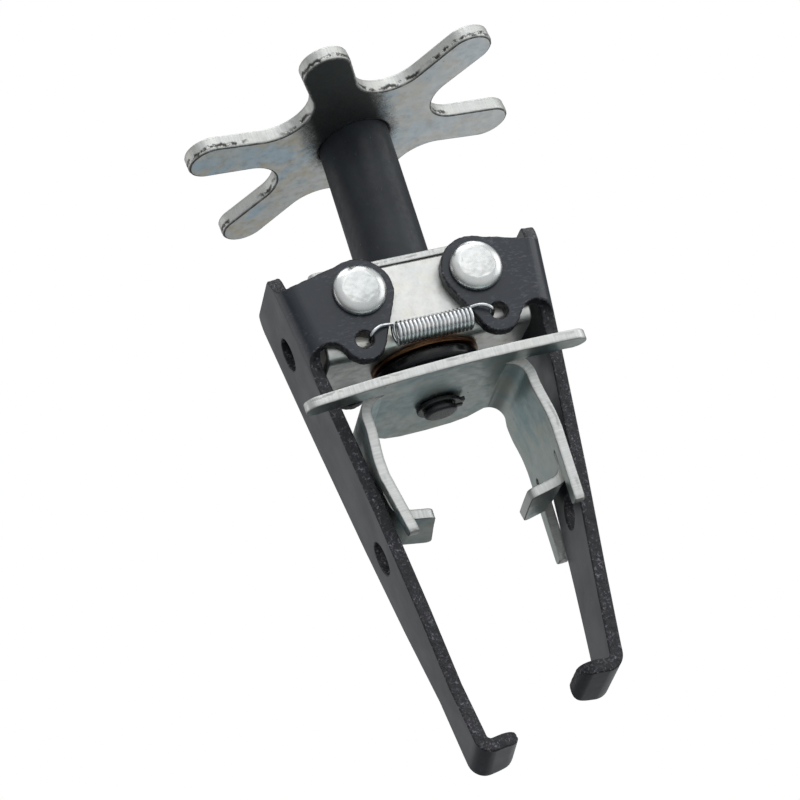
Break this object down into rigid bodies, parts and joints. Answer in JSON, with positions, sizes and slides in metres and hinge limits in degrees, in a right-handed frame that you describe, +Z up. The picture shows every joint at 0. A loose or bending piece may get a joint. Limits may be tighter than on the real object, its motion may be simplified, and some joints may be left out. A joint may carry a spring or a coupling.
{
  "type": "valve spring compressor",
  "caption": "Hand screw tool: a star handle drives a forked pusher down between sprung, hooked jaws on a riveted channel frame.",
  "frame": {"origin": "on the spindle axis, level with the front edge of the longer jaw's hook seat, where the tool grips the spring", "axes": "+Z up the spindle axis towards the handle; +X towards the tool's right jaw; -Y towards its front, the side of the pusher's long bar"},
  "size_m": [0.1052, 0.1015, 0.2008],
  "materials": {
    "zinc_plate": "zinc-plated sheet steel, faintly mottled",
    "black_tube": "satin black",
    "black_paint": "gloss black over smooth faces and rough sheared edges",
    "black_gloss": "gloss black",
    "black_oxide": "black oxide, satin",
    "bronze": "dull bronze",
    "rivet_steel": "bright formed heads",
    "spring_steel": "bright drawn wire"
  },
  "bodies": {
    "frame": {"frame_channel": "zinc_plate", "frame_top_plate": "zinc_plate", "front_spring": "spring_steel", "rear_spring": "spring_steel"},
    "handle": {"star_handle": "zinc_plate", "handle_weld": "zinc_plate", "handle_tube": "black_tube", "drive_nut": "zinc_plate", "thrust_washer": "bronze", "thrust_collar": "black_gloss"},
    "pusher_slide_group": {"spindle": "black_oxide", "pusher": "zinc_plate", "pusher_washer": "zinc_plate", "retaining_clip": "black_oxide"},
    "left_rivets": {"left_front_rivet": "rivet_steel", "left_rear_rivet": "rivet_steel"},
    "right_rivets": {"right_front_rivet": "rivet_steel", "right_rear_rivet": "rivet_steel"},
    "left_jaw_body": {"left_jaw": "black_paint"},
    "right_jaw_body": {"right_jaw": "black_paint"}
  },
  "joints": [
    {"name": "handle_turn", "type": "hinge", "parent": "frame", "child": "handle", "pos_m": [0, 0, 0.13], "axis": [0, 0, -1], "range_deg": [-360, 4680]},
    {"name": "pusher_slide", "type": "slide", "parent": "frame", "child": "pusher_slide_group", "axis": [0, 0, -1], "range_m": [-0.0021, 0.0262]},
    {"name": "left_jaw_cam", "type": "hinge", "parent": "frame", "child": "left_rivets", "pos_m": [-0.0174, 0, 0.1293], "axis": [0, 1, 0], "range_deg": [-0.3, 2.7]},
    {"name": "right_jaw_cam", "type": "hinge", "parent": "frame", "child": "right_rivets", "pos_m": [0.0174, 0, 0.1293], "axis": [0, -1, 0], "range_deg": [-0.3, 2.7]},
    {"name": "left_jaw_swing", "type": "hinge", "parent": "left_rivets", "child": "left_jaw_body", "pos_m": [-0.0174, 0, 0.1293], "axis": [0, 1, 0], "range_deg": [0, 15], "stiffness_Nm_per_rad": 0.2, "springref_deg": -2.86, "deforming": ["front_spring", "rear_spring"]},
    {"name": "right_jaw_swing", "type": "hinge", "parent": "right_rivets", "child": "right_jaw_body", "pos_m": [0.0174, 0, 0.1293], "axis": [0, -1, 0], "range_deg": [0, 15], "stiffness_Nm_per_rad": 0.2, "springref_deg": -2.86, "deforming": ["front_spring", "rear_spring"]}
  ],
  "couplings": [
    {"joint": "pusher_slide", "follows": "handle_turn", "m_per_rad": 0.00031831},
    {"joint": "left_jaw_cam", "follows": "handle_turn", "ratio": 0.00053419},
    {"joint": "right_jaw_cam", "follows": "handle_turn", "ratio": 0.00053419}
  ]
}
